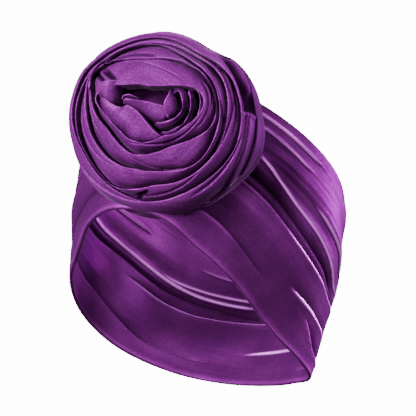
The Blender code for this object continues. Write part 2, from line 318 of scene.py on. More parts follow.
def closed_surface(name, points, across, along, painted_light, joined=True):
    """Mesh object from a grid whose rows close into a tube; its ends are joined or else capped.

    The ways across and along the cloth, in metres, become its UV map. The painted light and shade at each
    point become the attribute that its material multiplies the dye by.
    """
    rows, columns = points.shape[:2]
    index = np.arange(rows * columns).reshape(rows, columns)
    spans = columns if joined else columns - 1
    here, right = index[:, :spans], np.roll(index, -1, 1)[:, :spans]
    quads = np.stack([here, right, np.roll(right, -1, 0), np.roll(here, -1, 0)], -1).reshape(-1, 4)
    caps = np.array([]) if joined else np.concatenate([index[:, 0], index[::-1, -1]])
    corners = np.concatenate([quads.ravel(), caps]).astype(np.int32)
    starts = np.arange(0, quads.size, 4)
    if not joined:
        starts = np.concatenate([starts, [quads.size, quads.size + rows]])
    mesh = bpy.data.meshes.new(name)
    mesh.vertices.add(rows * columns)
    mesh.vertices.foreach_set("co", points.astype(np.float32).ravel())
    mesh.loops.add(len(corners))
    mesh.loops.foreach_set("vertex_index", corners)
    mesh.polygons.add(len(starts))
    mesh.polygons.foreach_set("loop_start", starts.astype(np.int32))
    mesh.update(calc_edges=True)
    # The last faces carry on along the cloth and across it instead of jumping back to the start.
    u = np.concatenate([along, 2 * along[:, -1:] - along[:, -2:-1]], 1)
    v = np.concatenate([across, across[:, :1]], 1)
    u, v = np.concatenate([u, u[:1]]), np.concatenate([v, 2 * v[-1:] - v[-2:-1]])
    corner = [(slice(None, -1), slice(0, spans)), (slice(None, -1), slice(1, spans + 1)),
              (slice(1, None), slice(1, spans + 1)), (slice(1, None), slice(0, spans))]
    places = np.stack([np.stack([u[part], v[part]], -1) for part in corner], 2).reshape(-1, 2)
    places = np.concatenate([places, np.zeros((len(corners) - len(places), 2))])
    layer = mesh.uv_layers.new(name="cloth")
    layer.data.foreach_set("uv", places.astype(np.float32).ravel())
    mesh.attributes.new("painted_light", "FLOAT", "POINT").data.foreach_set("value", painted_light.astype(np.float32).ravel())
    mesh.validate()
    mesh.shade_smooth()
    made = bpy.data.objects.new(name, mesh)
    bpy.context.scene.collection.objects.link(made)
    return made


def linear(colour):
    """sRGB hex such as "7a3f88" to linear RGBA: straight near black, a power of 2.4 above."""
    parts = np.array([int(colour[i:i + 2], 16) for i in (0, 2, 4)]) / 255
    parts = np.where(parts <= 0.04045, parts / 12.92, ((parts + 0.055) / 1.055) ** 2.4)
    return (*parts.tolist(), 1.0)


def set_inputs(node, **values):
    """Sets a node's inputs by name, with an underscore for each space."""
    for name, value in values.items():
        node.inputs[name.replace("_", " ")].default_value = value


def add_node(material, kind, links=(), settings=(), **values):
    """Shader node with attribute settings, input values, and links as (input, source, output)."""
    node = material.node_tree.nodes.new("ShaderNode" + kind)
    for name, value in dict(settings).items():
        setattr(node, name, value)
    set_inputs(node, **values)
    for socket, source, output in links:
        material.node_tree.links.new(source.outputs[output], node.inputs[socket])
    return node


def jersey(name, dark, mid, light, roughness, satin, speckle):
    """Viscose jersey, dyed in the piece and knitted fine, so it drapes heavily and shines on folds, partly
    by its satin and partly by painted highlights.

    Knit ribs are 0.6 mm apart in the cloth and are drawn 0.9 mm apart, the finest that shows. Its shine
    is satin in the dye's colour, as on the smooth side of a fibre, with the sheen of fine fluff. The
    white gloss of a plain surface is off, because it greyed the folds' edges.
    """
    material = bpy.data.materials.new(name)
    material.use_nodes = True
    shader = material.node_tree.nodes["Principled BSDF"]
    set_inputs(shader, Roughness=roughness, IOR=1.46, Metallic=satin)
    set_inputs(shader, Specular_IOR_Level=0.0, Specular_Tint=linear("cf6be0"))
    set_inputs(shader, Sheen_Weight=0.18, Sheen_Roughness=0.35, Sheen_Tint=linear("e394ee"))
    cloth = add_node(material, "UVMap", settings={"uv_map": "cloth"})
    place = add_node(material, "TexCoord")
    # Repeats to the metre along the cloth, then across it: ribs every 0.9 mm, and gathers every 1.6 mm
    # that run on as streaks about 40 mm long.
    ribs = add_node(material, "Mapping", [("Vector", cloth, "UV")], Scale=(260, 1100, 1))
    pulled = add_node(material, "Mapping", [("Vector", cloth, "UV")], Scale=(26, 620, 1))
    knit = add_node(material, "TexNoise", [("Vector", ribs, "Vector")], Scale=1, Detail=3)
    gather = add_node(material, "TexNoise", [("Vector", pulled, "Vector")], Scale=1, Detail=4)
    # The dye comes out deeper and paler over 26 mm, and flecks of fibre are drawn 0.8 mm apart.
    wash = add_node(material, "TexNoise", [("Vector", place, "Object")], Scale=38, Detail=3)
    speck = add_node(material, "TexNoise", [("Vector", place, "Object")], Scale=1250, Detail=2)
    dye = add_node(material, "ValToRGB", [("Fac", wash, "Fac")])
    ends = dye.color_ramp.elements
    ends[0].position, ends[1].position = 0.32, 0.72
    ends[0].color, ends[1].color = linear(dark), linear(light)
    ends.new(0.52).color = linear(mid)
    grain = add_node(material, "MapRange", [("Value", speck, "Fac")], From_Min=0.36,
                     From_Max=0.64, To_Min=1 - speckle, To_Max=1 + speckle)
    shade = add_node(material, "VectorMath", [(0, dye, "Color"), (1, grain, "Result")],
                     {"operation": "MULTIPLY"})
    # Painted light and shade from the mesh attribute multiply the dye: painted shade down in a fold and a
    # painted highlight over it, which the glint lifts nearly to white on its lip.
    painted_light = add_node(material, "Attribute", settings={"attribute_name": "painted_light"})
    painted_glint = add_node(material, "MapRange", [("Value", painted_light, "Fac")], From_Min=2.6,
                     From_Max=8.0, To_Min=0.0, To_Max=0.26)
    parts = [(0, shade, "Vector"), (1, painted_light, "Fac"), (2, painted_glint, "Result")]
    colour = add_node(material, "VectorMath", parts, {"operation": "MULTIPLY_ADD"})
    material.node_tree.links.new(colour.outputs["Vector"], shader.inputs["Base Color"])
    pull = add_node(material, "Bump", [("Height", gather, "Fac")], Strength=0.16,
                    Distance=0.0006)
    weave = add_node(material, "Bump", [("Height", knit, "Fac"), ("Normal", pull, "Normal")],
                     Strength=0.30, Distance=0.0003)
    material.node_tree.links.new(weave.outputs["Normal"], shader.inputs["Normal"])
    return material


def finished(piece, node, material):
    """The piece replaces its solid, rides on the one body and takes its cloth."""
    piece.data.materials.append(material)
    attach(piece, "root")
    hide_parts(node)


# Columns start under the rosette and lie closer together round the sharp fold, by a bell in degrees.
# Rows follow the pleats' lines, and only a part of their spacing between two lines is even.
FIRST_ANGLE, TRIAL_COLUMNS, FOLD_CROWDING, FOLD_SPREAD = -80, 2000, 1.6, 14
ROW_EVENNESS = 0.3
even = np.linspace(FIRST_ANGLE, FIRST_ANGLE + 360, TRIAL_COLUMNS)
density = np.cumsum(1 + FOLD_CROWDING * np.exp(-((even - FOLD_ANGLE) / FOLD_SPREAD) ** 2))
wanted = np.linspace(density[0], density[-1], BAND_COLUMNS + 1)[:-1]
band_angles = np.interp(wanted, density, even)
pleat_stops = [line_shares(band_angles, name) for name in Lines._fields[1:]]
stops = [band_angles * 0] + pleat_stops + [band_angles * 0 + 1]
band_share = []
for low, high, rows in zip(stops[:-1], stops[1:], LINE_ROWS):
    t = np.arange(rows)[:, None] / rows
    spaced = ROW_EVENNESS * t + (1 - ROW_EVENNESS) / 2 * (1 - np.cos(np.pi * t))
    band_share.append(low + (high - low) * spaced)
band_share = np.concatenate(band_share + [stops[-1][None]])
band_angle = np.broadcast_to(band_angles, band_share.shape)
middle, _, band_width = loop_points(band_angle, band_share)
outward = grid_normals(middle)
rise, outer_painted_light, inner_painted_light = pleat_rise(band_angle, band_share, band_width)
middle = middle + outward * rise[..., None]
outward = grid_normals(middle)
outer_face = middle + outward * BAND_WALL / 2
inner_face = middle - outward * BAND_WALL / 2
fold_turns = np.pi * np.arange(1, EDGE_ROWS + 1) / (EDGE_ROWS + 1)


def folded_edge(start, end, direction):
    """Half round from one face's edge to the other's: cosine across the wall, sine out of the cloth."""
    centre, reach = (start + end) / 2, (start - end) / 2
    depth = np.linalg.norm(reach, axis=-1, keepdims=True)
    return np.stack([centre + reach * np.cos(t) + direction * depth * np.sin(t) for t in fold_turns])


def edge_direction(face, rows):
    """Unit vectors out of the cloth at a long edge: from the second of two rows to the first."""
    step = face[rows[0]] - face[rows[1]]
    return step / np.linalg.norm(step, axis=-1, keepdims=True)


top_edge = folded_edge(outer_face[-1], inner_face[-1], edge_direction(middle, (-1, -2)))
bottom_edge = folded_edge(inner_face[0], outer_face[0], edge_direction(middle, (0, 1)))
band_points = np.concatenate([outer_face, top_edge, inner_face[::-1], bottom_edge])
MEAN_RADIUS = 86 * MM
around_band = np.radians(band_angles - FIRST_ANGLE) * MEAN_RADIUS * np.ones((len(band_points), 1))
# Painted light and shade of the band's faces; the folded edges carry none.
edge_painted_light = np.ones((EDGE_ROWS, BAND_COLUMNS))
band_painted_light = np.concatenate([outer_painted_light, edge_painted_light, inner_painted_light[::-1], edge_painted_light])
band = closed_surface("band_jersey", band_points, measured(band_points), around_band, band_painted_light)
band_cloth = jersey("viscose_jersey_band", "55165d", "5f1b64", "6a2171",
                    roughness=0.46, satin=0.45, speckle=0.20)
finished(band, "band", band_cloth)


# The rosette: the tail of the cloth, folded lengthwise and rolled up from its end into a flower, then
# stitched to the front of the band. Its windings stand on edge, the inner ones higher, and each leans
# outward from its crisp inner fold to the foot of the next one's.
ROSE_AZIMUTH = 15.0
ROSE_ELEVATION = 14.0
ROSE_FOOT_ANGLE = -80.4
ROSE_FOOT_SHARE = 0.573
ROSE_STAND_OFF = 1.5 * MM
ROSE_COLUMNS = 480
WINDING_GAP = 0.9 * MM
LIP_RADIUS, LIP_LARGEST_SHARE = 0.75 * MM, 0.35
LIP_ROWS, SIDE_ROWS, FACE_ROWS, BACK_ROWS = 8, 14, 62, 6

# The rosette's back rests on the band with a gap, somewhere between these two heights.
LOWEST_SEAT, HIGHEST_SEAT, SEAT_GAP, SEAT_HALVINGS = -17.5 * MM, 60 * MM, 0.5 * MM, 16

# A roll carries painted shade down its inner side to a depth, and on its face over a width beside the
# foot, by a power of the nearness. Its painted light and shade is the exponential of a push in mm, in
# limits, and its lip carries a painted highlight.
INNER_SIDE_SHADE, INNER_SIDE_DARK, FOOT_SHADE, FOOT_POWER = 3 * MM, 0.8, 7 * MM, 1.6
PAINTED_PUSH_LIGHT, PAINTED_PUSH_LIMITS, PAINTED_ROLL_LIP_HIGHLIGHT = 0.7, (0.15, 1.4), 1.45

# Radius in mm of the rim and of each winding's fold, by angle in degrees anticlockwise from the
# rosette's right as seen from the front. Where two come close, the winding between them is pinched.
Crease = namedtuple("Crease", "angle rim outer second third inner lip")
CREASES = [
    Crease(-180, 62.0, 56.5, 52.0, 44.5, 37.5, 31.0),
    Crease(-165, 62.3, 54.0, 51.2, 42.5, 31.5, 25.5),
    Crease(-150, 62.3, 52.0, 50.2, 40.5, 29.0, 22.3),
    Crease(-135, 61.5, 51.8, 50.2, 39.0, 28.0, 21.2),
    Crease(-120, 60.5, 52.0, 50.6, 37.0, 27.5, 20.0),
    Crease(-105, 60.6, 52.3, 47.0, 35.0, 25.8, 18.7),
    Crease(-90, 60.6, 52.3, 43.0, 34.5, 24.0, 16.8),
    Crease(-75, 60.2, 51.0, 43.0, 35.3, 23.0, 15.4),
    Crease(-60, 59.2, 50.0, 43.5, 38.0, 22.8, 15.2),
    Crease(-45, 58.6, 50.3, 43.8, 40.0, 25.0, 17.5),
    Crease(-30, 59.2, 51.5, 44.0, 40.2, 29.0, 20.0),
    Crease(-15, 59.0, 52.4, 44.0, 40.4, 35.0, 23.5),
    Crease(0, 58.0, 52.0, 44.2, 40.7, 38.7, 29.0),
    Crease(15, 57.4, 51.8, 45.6, 40.9, 39.2, 33.0),
    Crease(30, 58.9, 51.2, 46.6, 41.0, 39.4, 31.0),
    Crease(45, 57.8, 49.5, 45.8, 40.8, 38.8, 25.0),
    Crease(60, 54.0, 47.3, 44.7, 40.4, 37.5, 20.5),
    Crease(75, 55.6, 48.5, 45.2, 42.0, 36.4, 18.0),
    Crease(90, 58.4, 50.5, 46.6, 45.0, 36.4, 17.5),
    Crease(105, 58.8, 51.8, 48.4, 47.0, 37.4, 18.0),
    Crease(120, 59.4, 53.2, 49.8, 48.4, 41.0, 21.0),
    Crease(135, 60.8, 55.0, 51.2, 49.4, 46.0, 25.0),
    Crease(150, 62.3, 57.2, 52.4, 50.6, 48.8, 33.0),
    Crease(165, 62.3, 57.0, 52.4, 47.4, 42.6, 39.5),
]

# Smaller folds on a winding's face. Each runs through three radii in mm at three angles. The cloth
# sinks by the depth just inside it and stands up by the lip just outside it, and both fall off over
# so many mm. Over a share of its length at each end a fold comes in.
FOLD_END = 0.22
Fold = namedtuple("Fold", "winding start middle end low mid high depth lip inner_side outer_side")
FOLDS = [
    Fold("outer", -156, -122, -88, 59.5, 55.6, 52.6, 1.2, 0.7, 1.0, 1.6),
    Fold("outer", -66, -38, -8, 54.2, 53.6, 54.6, 1.6, 0.6, 1.4, 1.6),
    Fold("outer", -66, -30, 12, 58.6, 57.2, 55.2, 0.8, 0.7, 0.9, 1.2),
    Fold("outer", -50, -20, 12, 59.8, 58.6, 57.2, 0.6, 0.6, 0.8, 1.0),
    Fold("outer", -36, -12, 12, 56.4, 55.6, 54.6, 0.7, 0.6, 0.7, 0.9),
    Fold("outer", 60, 100, 152, 51.4, 54.2, 60.4, 0.9, 0.6, 1.2, 1.4),
    Fold("outer", 84, 120, 156, 52.6, 55.8, 59.6, 0.8, 0.5, 0.8, 1.0),
    Fold("outer", 138, 165, 196, 59.4, 59.0, 59.6, 1.0, 0.6, 1.4, 1.4),
    Fold("second", -114, -84, -46, 51.2, 48.4, 44.6, 1.0, 0.5, 0.8, 1.0),
    Fold("second", -34, -8, 16, 44.6, 46.4, 49.6, 1.4, 0.5, 1.0, 1.4),
    Fold("second", -16, 12, 34, 49.0, 49.6, 50.2, 1.0, 0.5, 0.8, 0.9),
    Fold("second", 0, 34, 74, 47.4, 48.6, 46.6, 0.5, 0.6, 0.6, 0.8),
    Fold("third", -52, 0, 60, 42.6, 42.4, 42.2, 0.7, 0.4, 0.5, 0.7),
    Fold("third", -196, -160, -128, 49.4, 46.6, 40.6, 0.9, 0.5, 0.8, 1.2),
    Fold("inner", -124, -90, -50, 29.4, 31.8, 38.6, 0.9, 0.4, 0.5, 0.9),
    Fold("inner", 150, 172, 200, 48.6, 42.4, 37.0, 1.0, 0.5, 0.8, 1.0),
    Fold("inner", 92, 112, 132, 38.4, 43.0, 48.0, 1.6, 0.3, 2.0, 1.6),
    Fold("lip", -136, -74, 6, 24.6, 19.2, 33.4, 1.8, 0.6, 0.7, 0.9),
    Fold("lip", -20, 10, 40, 27.6, 35.6, 35.4, 1.4, 0.6, 0.8, 0.9),
    Fold("lip", -4, 16, 40, 33.4, 37.2, 37.4, 0.9, 0.5, 0.5, 0.7),
    Fold("lip", 48, 84, 114, 28.4, 29.4, 37.2, 1.0, 0.4, 0.6, 1.6),
]

# Pockets where the cloth gapes between two folds: place, half length along the winding and half width
# in mm, turn in degrees towards the rim, and depth in mm.
Pocket = namedtuple("Pocket", "winding angle radius length width turn depth")
POCKETS = [
    Pocket("second", -98, 48.6, 4.0, 1.0, -26, 2.6),
    Pocket("inner", 136, 44.0, 2.6, 2.6, 0, 4.0),
    Pocket("lip", 141, 39.0, 1.6, 5.5, 0, 4.0),
    Pocket("lip", 148, 43.5, 1.4, 4.0, 10, 3.5),
]

# The windings' lips and feet in mm out from the band, how round the face is (0 flat, 1 a quarter
# round), how deep the roll goes, and how far its back is pulled in under it.
Winding = namedtuple("Winding", "inner outer node lip foot round depth pull flat")
WINDINGS = [
    Winding("outer", "rim", "rose_outer_wrap", 31.0, 13.0, 0.85, 60, 0.40, (0.36, 0.045)),
    Winding("second", "outer", "rose_second_wrap", 36.0, 25.0, 0.75, 16, 0.0, (0.32, 0.030)),
    Winding("third", "second", "rose_third_wrap", 39.4, 29.6, 0.75, 16, 0.0, (0.28, 0.030)),
    Winding("inner", "third", "rose_inner_wrap", 42.4, 33.0, 0.75, 16, 0.0, (0.25, 0.032)),
    Winding("lip", "inner", "rose_inner_wrap", 45.4, 35.8, 0.75, 16, 0.0, (0.20, 0.037)),
]

# Where a winding leaves its level: the change of its lip and of its foot in mm, about an angle and
# over a spread in degrees.
Lean = namedtuple("Lean", "winding angle spread lip foot")
LEANS = [
    Lean("inner", 102, 34, -6.0, -1.0), Lean("lip", 100, 38, -1.0, 1.6), Lean("second", -135, 18, -2.0, 0.0),
    Lean("second", 100, 36, -3.5, 5.0), Lean("third", 100, 36, -5.0, 2.4),
    Lean("lip", 165, 14, -3.0, -1.0),
]

# The outer winding's end is turned under at the right: between two radii in mm the cloth steps in by the
# depth at its edge, which stands up by the lip, and comes back to its level at an angle after it. Below
# the lowest height the wall is whole. Each comes in over its ease, in degrees or mm.
TUCK_EDGE, TUCK_EDGE_EASE, TUCK_END, TUCK_END_EASE, TUCK_DEPTH = 5.5, 1.2, 58.0, 24, 4.4
TUCK_RADIUS, TUCK_RADIUS_EASE, TUCK_RIM, TUCK_RIM_EASE = 53.0, 1.2, 57.4, 1.5
TUCK_LOWEST, TUCK_LOWEST_EASE, TUCK_LIP, TUCK_LIP_BEFORE, TUCK_LIP_SPREAD = 9.0, 5, 0.9, 1.6, 1.4

# Fine ripples run round the windings as waves: height in mm, the way out in mm over which a wave turns
# by a radian, and two sways of it with their turns round the rosette.
Ripple = namedtuple("Ripple", "height pitch sway turns start small_sway small_turns")
RIPPLES = [Ripple(0.04, 0.5, 3, 3, 0, 2, 7), Ripple(0.12, 1.6, 4, 2, 1, 1.5, 5)]


def way_out(azimuth, elevation):
    """Unit vector out from the headband at an azimuth and elevation in degrees; the front is at 0, 0."""
    turn, rise = np.radians(azimuth), np.radians(elevation)
    return np.array([np.sin(turn) * np.cos(rise), -np.cos(turn) * np.cos(rise), np.sin(rise)])


def rose_axes():
    """Unit vectors of the rosette: to its right as seen from the front, up its face, and out of it."""
    out, turn = way_out(ROSE_AZIMUTH, ROSE_ELEVATION), np.radians(ROSE_AZIMUTH)
    right = np.array([np.cos(turn), np.sin(turn), 0.0])
    return np.stack([right, np.cross(out, right), out])


foot_turn = np.radians(ROSE_FOOT_ANGLE)
foot_place, _, _ = loop_points(np.array(ROSE_FOOT_ANGLE), np.array(ROSE_FOOT_SHARE))
left_way, nape_way, crown_way = loop_axes()
rose_foot = foot_place + (np.cos(foot_turn) * left_way + np.sin(foot_turn) * nape_way) * ROSE_STAND_OFF


def seat_height(across, up):
    """Lowest height at which each place on the rosette's face clears the band, found by halving."""
    low = np.full(across.shape, LOWEST_SEAT)
    high = np.full(across.shape, HIGHEST_SEAT)
    for _ in range(SEAT_HALVINGS):
        half = (low + high) / 2
        place = rose_foot + np.stack([across, up, half], -1) @ rose_axes()
        angle = np.degrees(np.arctan2(place @ nape_way, place @ left_way))
        _, _, width = loop_points(angle, np.zeros_like(angle))
        share = np.clip((place @ crown_way + HEM_TO_MIDDLE) / width, 0, 1)
        _, reach, _ = loop_points(angle, share)
        clear = np.hypot(place @ left_way, place @ nape_way) > reach + ROSE_STAND_OFF + SEAT_GAP
        high, low = np.where(clear, half, high), np.where(clear, low, half)
    return high


def roll(crest, foot, rounding, depth, pull, shadow, push):
    """Closed roll of cloth between two lines, each an array of across, up and height in metres.

    The section goes up the inner side, a quarter round over the lip, across the face, which falls
    by the straight or the quarter-round law in the share of rounding, down the outer side, and back
    along the foot. A function of place on the face gives how far the cloth is pushed outward. The
    second result is its painted light and shade: painted shade down the sides, by the shadow's depth
    from 0 to 1 at the foot, and by the exponential of how far the cloth is pushed in, with a painted
    highlight on the lip.
    """
    reach = foot[:, :2] - crest[:, :2]
    stride = np.gradient(crest[:, :2], axis=0)
    if np.sum(stride[1:-1, 0] * reach[1:-1, 1] - stride[1:-1, 1] * reach[1:-1, 0]) < 0:
        # Drawn the other way round, so that its faces point outward.
        crest, foot, reach, shadow = crest[::-1], foot[::-1], reach[::-1], shadow[::-1]
    width = np.linalg.norm(reach, axis=1)
    way = reach / width[:, None]
    lip = np.minimum(LIP_RADIUS, LIP_LARGEST_SHARE * width)
    quarter = np.linspace(0, np.pi / 2, LIP_ROWS)[1:, None]
    down = np.linspace(1, 0, SIDE_ROWS)[:, None]
    across = np.linspace(0, 1, FACE_ROWS)[1:, None]
    fall = (1 - rounding) * across + rounding * (1 - np.sqrt(1 - across ** 2))
    under = foot[:, :2] - way * (pull * width)[:, None]
    low_in = np.maximum(crest[:, 2] - depth, seat_height(crest[:, 0], crest[:, 1]))
    low_out = np.maximum(foot[:, 2] - depth, seat_height(under[:, 0], under[:, 1]))
    inner_top, outer_top = crest[:, 2] - lip, foot[:, 2] - lip
    shift = np.concatenate([
        lip * 0 * down, lip * (1 - np.cos(quarter)), lip + (width - 2 * lip) * across,
        width - lip + lip * np.sin(quarter), width - pull * width * (1 - down[1:]) ** 2])
    height = np.concatenate([
        inner_top - (inner_top - low_in) * down, inner_top + lip * np.sin(quarter),
        crest[:, 2] - (crest[:, 2] - foot[:, 2]) * fall, outer_top + lip * np.cos(quarter),
        low_out + (outer_top - low_out) * down[1:]])
    plane = crest[None, :, :2] + way[None] * shift[..., None]
    back = np.linspace(1, 0, BACK_ROWS + 2)[1:-1, None, None]
    base = plane[:1] * (1 - back) + plane[-1:] * back
    base_height = np.maximum(height[:1] * (1 - back[..., 0]) + height[-1:] * back[..., 0],
                             seat_height(base[..., 0], base[..., 1]))
    local = np.concatenate([np.concatenate([plane, base]),
                            np.concatenate([height, base_height])[..., None]], -1)
    points = rose_foot + local @ rose_axes()
    # The push dies out down the inner side and stops at the back.
    below = np.clip((crest[:, 2] - local[..., 2]) / INNER_SIDE_SHADE, 0, 1)
    fade = np.ones_like(below)
    fade[:len(down)] = 1 - below[:len(down)]
    fade[len(plane):] = 0
    pushed = push(local) * fade
    points = points + grid_normals(points) * pushed[..., None]
    # Painted light and shade: by the push, darker down the inner side and beside the foot, paler on the lip.
    painted_light = np.clip(np.exp(PAINTED_PUSH_LIGHT * pushed / MM), *PAINTED_PUSH_LIMITS)
    painted_light[:len(down)] *= 1 - INNER_SIDE_DARK * eased(below[:len(down)])
    painted_light[len(down):len(down) + len(quarter)] *= PAINTED_ROLL_LIP_HIGHLIGHT
    face = slice(len(down) + len(quarter), len(down) + len(quarter) + len(across))
    painted_light[face] *= 1 - shadow * np.clip(1 - (1 - across) * width / FOOT_SHADE, 0, 1) ** FOOT_POWER
    painted_light[face.stop:len(plane)] *= 1 - shadow
    return points, painted_light


def folds_on(winding):
    """Outward push of a winding's folds and pockets, as a function of place on the rosette's face."""
    def push(local):
        radius = np.hypot(local[..., 0], local[..., 1]) / MM
        angle = np.degrees(np.arctan2(local[..., 1], local[..., 0]))
        total = np.zeros_like(radius)
        for fold in FOLDS:
            if fold.winding == winding:
                turn = (angle - fold.start + 90) % 360 - 90
                share = turn / (fold.end - fold.start)
                half = (fold.middle - fold.start) / (fold.end - fold.start)
                # The parabola through the three radii.
                line = fold.low * (1 - share) * (half - share) / half \
                    + fold.mid * share * (1 - share) / (half * (1 - half)) \
                    + fold.high * share * (share - half) / (1 - half)
                fade = eased(share / FOLD_END) * eased((1 - share) / FOLD_END)
                off = radius - line
                inside = -fold.depth * np.exp(-(off / fold.inner_side) ** 2)
                outside = fold.lip * np.exp(-(off / fold.outer_side) ** 2)
                total += fade * np.where(off < 0, inside, outside)
        if winding == "outer":
            turned = eased((angle - TUCK_EDGE) / TUCK_EDGE_EASE) * eased((TUCK_END - angle) / TUCK_END_EASE)
            outside = eased((radius - TUCK_RADIUS) / TUCK_RADIUS_EASE) \
                * eased((local[..., 2] / MM - TUCK_LOWEST) / TUCK_LOWEST_EASE)
            past_rim = eased((radius - TUCK_RIM + TUCK_RIM_EASE) / TUCK_RIM_EASE)
            total -= TUCK_DEPTH * turned * outside * (1 - past_rim)
            from_lip = (angle - TUCK_EDGE + TUCK_LIP_BEFORE) / TUCK_LIP_SPREAD
            total += TUCK_LIP * outside * np.exp(-from_lip ** 2)
        for pocket in POCKETS:
            if pocket.winding == winding:
                along = np.radians((angle - pocket.angle + 180) % 360 - 180) * pocket.radius
                out = radius - pocket.radius
                tilt = np.radians(pocket.turn)
                far = along * np.cos(tilt) + out * np.sin(tilt)
                wide = out * np.cos(tilt) - along * np.sin(tilt)
                shape = np.exp(-((far / pocket.length) ** 4 + (wide / pocket.width) ** 4))
                total -= pocket.depth * shape
        around = np.radians(angle)
        for ripple in RIPPLES:
            sway = ripple.sway * np.sin(around * ripple.turns + ripple.start)
            small_sway = ripple.small_sway * np.sin(around * ripple.small_turns)
            total += ripple.height * np.sin(radius / ripple.pitch + sway + small_sway)
        return total * MM
    return push


def surface_of(name, points, painted_light, joined=True):
    """Mesh of a roll, with its way across and its length measured along the cloth for the UV map."""
    return closed_surface(name, points, measured(points), measured(points.swapaxes(0, 1)).T, painted_light, joined)


# The same jersey, its dye a little paler as painted light on the rosette. Rolled up it is slack, so it
# shines less and its grain shows more.
rose_cloth = jersey("viscose_jersey_rosette", "5e1a65", "65206c", "6c2472",
                    roughness=0.48, satin=0.22, speckle=0.30)


def crease_radius(name):
    """Radius in metres of one of the creases at each winding angle, on its closed curve."""
    return round_curve(winding_angles, column(CREASES, "angle"), column(CREASES, name)) * MM


def ring(radius, height):
    """Closed line round the rosette: its radius turned to across and up, and its height."""
    return np.stack([radius * np.cos(winding_turn), radius * np.sin(winding_turn), height], 1)


# A foot carries painted shade, darker the deeper it lies below the next lip, to a full depth. Outside
# the outer winding no lip follows, and its painted shade is as if one stood over it between two angles.
WOBBLE, WOBBLE_TURNS, FOOT_DARK, FOOT_FULL_DEPTH = 0.7 * MM, 3, 0.85, 10 * MM
UNDERSIDE_LIP, UNDERSIDE_FROM, UNDERSIDE_TO, UNDERSIDE_FADE = 8 * MM, -150, 50, 40
winding_angles = np.linspace(-180, 180, ROSE_COLUMNS, endpoint=False)
winding_turn = np.radians(winding_angles)
underside = between(winding_angles, UNDERSIDE_FROM, UNDERSIDE_TO, UNDERSIDE_FADE)
next_lip = WINDINGS[0].foot * MM + UNDERSIDE_LIP * underside
for wind in WINDINGS:
    outer = crease_radius(wind.outer) - WINDING_GAP * (wind.outer != "rim")
    wobble = WOBBLE * np.sin(winding_turn * WOBBLE_TURNS + wind.lip)
    rise, drop = wobble.copy(), wobble.copy()
    for lean in LEANS:
        if lean.winding == wind.inner:
            bell = np.exp(-(((winding_angles - lean.angle + 180) % 360 - 180) / lean.spread) ** 2) * MM
            rise, drop = rise + lean.lip * bell, drop + lean.foot * bell
    crest = ring(crease_radius(wind.inner), wind.lip * MM + rise)
    foot = ring(outer, wind.foot * MM + drop)
    shadow = FOOT_DARK * np.clip((next_lip - foot[:, 2]) / FOOT_FULL_DEPTH, 0, 1)
    next_lip = crest[:, 2]
    points, painted_light = roll(crest, foot, wind.round, wind.depth * MM, wind.pull, shadow, folds_on(wind.inner))
    piece = surface_of("rose_" + wind.inner + "_winding", points, painted_light)
    finished(piece, wind.node, rose_cloth)


# The heart: the cloth's folded end, crumpled as the rolling starts. Short tongues and loops of it stand
# in a deep hollow, and one wide tongue lies across its lower left.
PETAL_COLUMNS = 96
# Over a share of its length at each end a petal tapers by a square root, down to the least one's, and
# sinks. The dark is its painted shade at the foot. Dents are in mm.
PETAL_TAPER, PETAL_LEAST, PETAL_SINK, PETAL_DARK = 0.06, 0.04, 2 * MM, 0.6
DENT, FINE_DENT = 0.30, 0.03

# Each row of a petal: its fold's place across and up the rosette's face and its height, then the same
# for its other edge, in mm.
CUP = [
    (-36.5, 19.8, 43, -38.0, 12.6, 42), (-30.0, 20.2, 47, -31.4, 8.3, 45),
    (-24.8, 21.0, 45, -26.6, 5.6, 42), (-21.0, 21.8, 37, -25.0, 5.4, 35),
]
TONGUE = [
    (-35.1, 11.4, 44, -37.0, 11.0, 43), (-26.4, 5.6, 47, -32.9, 2.7, 44.5),
    (-20.1, 3.6, 48, -29.0, -1.9, 45), (-15.7, 4.7, 48, -25.6, -4.9, 45),
    (-9.0, 1.0, 48, -20.8, -9.2, 45), (-3.1, -5.5, 47, -14.3, -14.5, 44),
    (1.8, -10.7, 45, -7.0, -17.2, 43), (7.8, -14.2, 43, 3.9, -15.7, 42),
]
HEART_LEAF = [
    (-21.4, 10.1, 41, -22.1, 7.5, 40), (-16.3, 9.7, 42.5, -17.5, 5.8, 40),
    (-8.5, 8.9, 43, -10.1, 1.6, 39), (-1.6, 7.6, 42, -3.7, -2.8, 38),
    (4.6, 6.0, 41, 1.2, -3.8, 37), (9.0, 2.8, 39, 6.0, -2.3, 37),
]
HEART_POINT = [
    (9.0, 16.2, 42, 10.2, 16.6, 41), (7.7, 11.6, 43, 12.3, 11.0, 41),
    (6.0, 7.2, 43, 13.6, 5.4, 40), (6.1, 2.6, 41, 12.4, 2.0, 39),
    (7.8, -1.4, 38, 9.4, -0.5, 37),
]
HEART_LOOP = [
    (11.6, 13.0, 42, 9.9, 15.6, 40), (14.2, 14.6, 43, 13.6, 17.8, 41),
    (16.0, 12.6, 43, 18.2, 15.4, 41), (17.5, 6.6, 43, 20.0, 8.0, 41),
    (16.3, 2.0, 42, 19.0, 2.0, 40), (12.1, -2.0, 42, 14.4, -3.6, 40),
    (5.6, -4.1, 41, 6.2, -7.3, 39), (-0.1, -3.6, 39, -2.7, -6.5, 37),
]
HEART_TURN = [
    (20.0, 15.6, 42, 21.6, 17.8, 40), (22.1, 10.0, 42, 24.8, 10.6, 40),
    (21.4, 2.9, 40, 23.9, 3.4, 38), (18.1, -4.1, 40, 20.4, -5.4, 38),
    (10.1, -9.2, 40, 11.0, -12.4, 38), (3.2, -9.6, 38, 2.6, -12.8, 37),
]
SIDE_LIP = [
    (25.0, 17.9, 42, 26.6, 19.4, 40), (28.0, 11.7, 43, 30.4, 12.3, 41),
    (28.5, 4.9, 43, 31.2, 4.3, 41), (27.0, -1.2, 42, 28.9, -1.8, 40),
]
